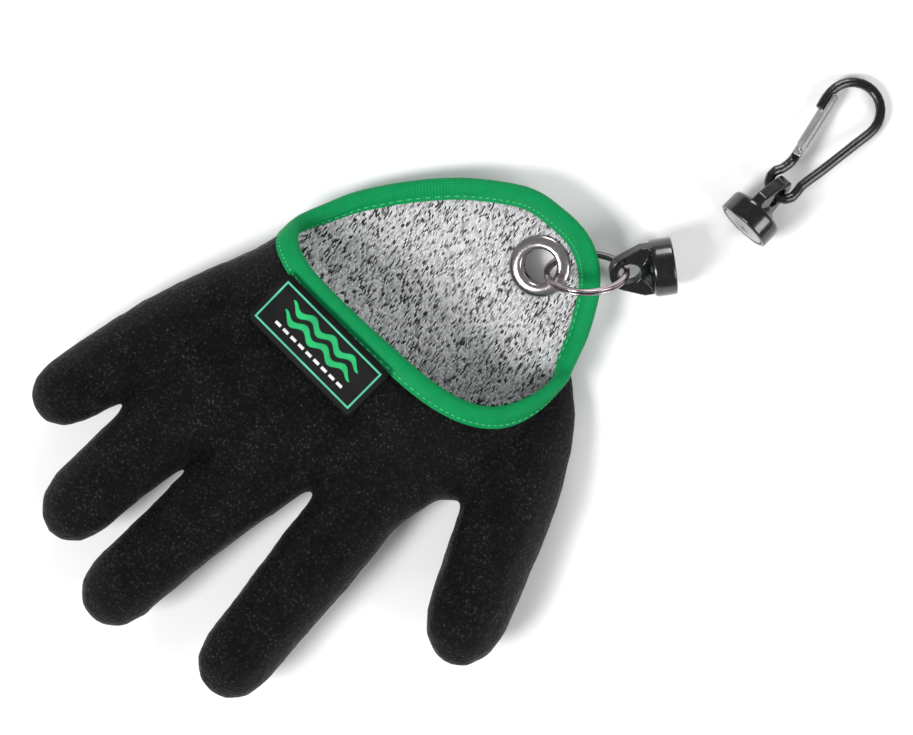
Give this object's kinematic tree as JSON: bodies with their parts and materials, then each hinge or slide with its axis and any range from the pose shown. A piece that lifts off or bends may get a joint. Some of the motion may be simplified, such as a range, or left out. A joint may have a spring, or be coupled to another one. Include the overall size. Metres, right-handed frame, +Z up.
{
  "type": "fishing glove",
  "caption": "Left-hand fishing glove with a latex-dipped palm and fingers, a scoop cuff with eyelet and split ring, and a magnetic release coupling with a sprung carabiner.",
  "frame": {"origin": "on the floor, under the middle of the whole part's box, with the glove lying on its back and its palm up", "axes": "+Y towards the fingertips, +X towards the little finger, +Z up out of the palm"},
  "size_m": [0.1884, 0.3562, 0.0378],
  "materials": {
    "latex": "matt black crinkle latex",
    "knit": "grey, white and black melange knit",
    "tape": "green woven tape",
    "label": "moulded black rubber",
    "nickel": "bright nickel",
    "steel": "nickel-plated steel wire",
    "housing": "gloss black plastic",
    "magnet": "nickel-plated magnet",
    "anodised": "black anodised aluminium",
    "gate": "bare satin aluminium"
  },
  "bodies": {
    "root": {"latex_coat": "latex", "knit_liner": "knit", "edge_binding": "tape", "label_patch": "label", "eyelet": "nickel", "eyelet_washer": "nickel", "split_ring": "steel", "magnet_housing_glove": "housing", "magnet_glove": "magnet", "magnet_housing_clip": "housing", "magnet_clip": "magnet", "carabiner_body": "anodised", "gate_pin": "steel"},
    "gate": {"carabiner_gate": "gate"}
  },
  "joints": [
    {"name": "gate_hinge", "type": "hinge", "parent": "root", "child": "gate", "pos_m": [-0.01674, -0.1392, 0.00791], "axis": [0, 0.1518, -0.9884], "range_deg": [0, 26], "stiffness_Nm_per_rad": 0.02, "springref_deg": -5.73}
  ]
}
